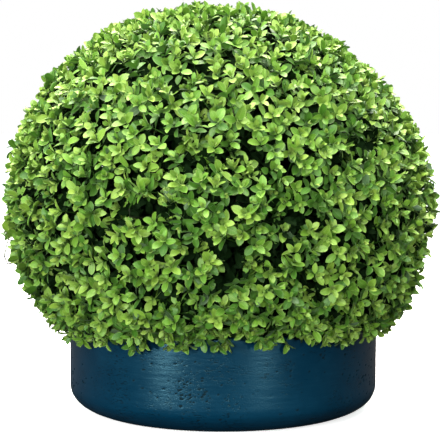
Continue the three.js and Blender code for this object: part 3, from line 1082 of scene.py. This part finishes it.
def build_world(strength):
    """Soft light from the upper half, strongest from above, on a white ground."""
    world = bpy.data.worlds.new("studio")
    world.use_nodes = True
    tree = world.node_tree
    shown = tree.nodes["Background"]
    shown.inputs["Color"].default_value = (1, 1, 1, 1)
    shown.inputs["Strength"].default_value = 1.0
    toward = add_node(tree, "ShaderNodeTexCoord", {}).outputs["Generated"]
    slope = add_node(
        tree, "ShaderNodeVectorMath", {"operation": "DOT_PRODUCT"}, (0, toward), (1, SKY_SLOPE)
    )
    level = add_node(
        tree, "ShaderNodeMapRange", {}, ("Value", slope.outputs["Value"]),
        ("From Min", SKY_START), ("To Min", 0.0), ("To Max", 2 * strength),
    )
    fill = add_node(
        tree, "ShaderNodeBackground", {}, ("Color", (*SKY_TINT, 1)),
        ("Strength", level.outputs["Result"]),
    )
    seen = add_node(tree, "ShaderNodeLightPath", {}).outputs["Is Camera Ray"]
    both = add_node(
        tree, "ShaderNodeMixShader", {}, (0, seen), (1, fill.outputs[0]), (2, shown.outputs[0])
    )
    tree.links.new(both.outputs[0], tree.nodes["World Output"].inputs["Surface"])
    bpy.context.scene.world = world


def floor_finish(stage):
    """A white floor that shows brighter than the light it throws back at the pot."""
    finish = Finish("floor", 0.9, 0.1)
    finish.shader.inputs["Base Color"].default_value = (*stage.floor, 1)
    finish.shader.inputs["Emission Color"].default_value = (1, 1, 1, 1)
    finish.shader.inputs["Emission Strength"].default_value = stage.glow
    dim = finish.node("ShaderNodeBsdfDiffuse", {}, ("Color", (*FLOOR_BOUNCE, 1)))
    seen = finish.node("ShaderNodeLightPath", {}).outputs["Is Camera Ray"]
    both = finish.node(
        "ShaderNodeMixShader", {}, (0, seen), (1, dim.outputs[0]), (2, finish.shader.outputs[0])
    )
    finish.tree.links.new(both.outputs[0], finish.tree.nodes["Material Output"].inputs["Surface"])
    return finish.material


def build_stage(stage):
    scene = bpy.context.scene
    scene.view_settings.view_transform = "Standard"
    middle = (0, 0, (BALL_LOW[2] + BALL_HIGH[2]) / 2)
    turn = np.arange(FLOOR_SIDES) * 2 * math.pi / FLOOR_SIDES
    reach = BALL_RADIUS * FLOOR_REACH
    disc = np.stack([reach * np.cos(turn), reach * np.sin(turn), 0 * turn + POT_LOW[2]], 1)
    mesh = bpy.data.meshes.new("floor")
    mesh.from_pydata([tuple(p) for p in disc], [], [tuple(range(FLOOR_SIDES))])
    mesh.materials.append(floor_finish(stage))
    floor = bpy.data.objects.new("floor", mesh)
    floor.location.z = -FLOOR_GAP
    scene.collection.objects.link(floor)
    build_world(stage.sky)
    for name, light in SOFTBOXES.items():
        softbox(name, middle, *light)
    camera = bpy.data.objects.new("camera", bpy.data.cameras.new("camera"))
    camera.location = way_to(0, stage.elevation) * stage.distance
    look = camera.location - Vector((0, 0, stage.aim))
    camera.rotation_euler = look.to_track_quat("Z", "Y").to_euler()
    camera.data.lens = stage.lens
    camera.data.shift_x = CAMERA_SHIFT
    scene.collection.objects.link(camera)
    scene.camera = camera


# ---- operators, panel and registration ----

class TOPIARY_OT_stage(bpy.types.Operator):
    """Lay the floor, hang the lights and set up the camera"""
    bl_idname = "topiary.stage"
    bl_label = "Stage"

    def execute(self, context):
        build_stage(context.scene.topiary.stage)
        return {"FINISHED"}


class TOPIARY_OT_pot(bpy.types.Operator):
    """Cast the pot with its pits and drag marks"""
    bl_idname = "topiary.pot"
    bl_label = "Pot"

    def execute(self, context):
        build_pot(context.scene.topiary.pot)
        return {"FINISHED"}


class TOPIARY_OT_filling(bpy.types.Operator):
    """Cover the filling with gravel"""
    bl_idname = "topiary.filling"
    bl_label = "Filling"

    def execute(self, context):
        build_filling(context.scene.topiary.filling)
        return {"FINISHED"}


class TOPIARY_OT_stem(bpy.types.Operator):
    """Put bark on the stem"""
    bl_idname = "topiary.stem"
    bl_label = "Stem"

    def execute(self, context):
        build_stem(context.scene.topiary.wood)
        return {"FINISHED"}


class TOPIARY_OT_boughs(bpy.types.Operator):
    """Put bark on the boughs"""
    bl_idname = "topiary.boughs"
    bl_label = "Boughs"

    def execute(self, context):
        build_boughs(context.scene.topiary.wood)
        return {"FINISHED"}


class TOPIARY_OT_branches(bpy.types.Operator):
    """Grow branches from the boughs towards the leaves"""
    bl_idname = "topiary.branches"
    bl_label = "Branches"

    def execute(self, context):
        build_branches(context.scene.topiary.wood)
        return {"FINISHED"}


class TOPIARY_OT_twigs(bpy.types.Operator):
    """Grow twigs from the branches to each spray of leaves"""
    bl_idname = "topiary.twigs"
    bl_label = "Twigs"

    def execute(self, context):
        build_twigs(context.scene.topiary.wood, context.scene.topiary.leaf)
        return {"FINISHED"}


class TOPIARY_OT_shade_leaves(bpy.types.Operator):
    """Grow the leaves inside the ball, coloured near black as painted shade"""
    bl_idname = "topiary.old_leaves"
    bl_label = "Old Leaves"

    def execute(self, context):
        build_shade_leaves(context.scene.topiary.leaf)
        return {"FINISHED"}


class TOPIARY_OT_sprays(bpy.types.Operator):
    """Grow the sprays of leaves that make the ball's face"""
    bl_idname = "topiary.sprays"
    bl_label = "Sprays"

    def execute(self, context):
        build_sprays(context.scene.topiary.leaf)
        return {"FINISHED"}


OPERATORS = (
    TOPIARY_OT_stage, TOPIARY_OT_pot, TOPIARY_OT_filling, TOPIARY_OT_stem, TOPIARY_OT_boughs,
    TOPIARY_OT_branches, TOPIARY_OT_twigs, TOPIARY_OT_shade_leaves, TOPIARY_OT_sprays,
)


class TOPIARY_PT_panel(bpy.types.Panel):
    """Lists the steps in the order that they are run"""
    bl_label = "Topiary"
    bl_idname = "TOPIARY_PT_panel"
    bl_space_type = "VIEW_3D"
    bl_region_type = "UI"
    bl_category = "Topiary"

    def draw(self, context):
        for operator in OPERATORS:
            self.layout.operator(operator.bl_idname)


SETTINGS = (
    PotSettings, FillingSettings, WoodSettings, LeafSettings, StageSettings, TopiarySettings,
)


def register():
    for kind in (*SETTINGS, *OPERATORS, TOPIARY_PT_panel):
        bpy.utils.register_class(kind)
    bpy.types.Scene.topiary = bpy.props.PointerProperty(type=TopiarySettings)


def unregister():
    del bpy.types.Scene.topiary
    for kind in reversed((*SETTINGS, *OPERATORS, TOPIARY_PT_panel)):
        bpy.utils.unregister_class(kind)


def main():
    register()
    for operator in OPERATORS:
        group, name = operator.bl_idname.split(".")
        getattr(getattr(bpy.ops, group), name)()


if __name__ == "__main__":
    main()
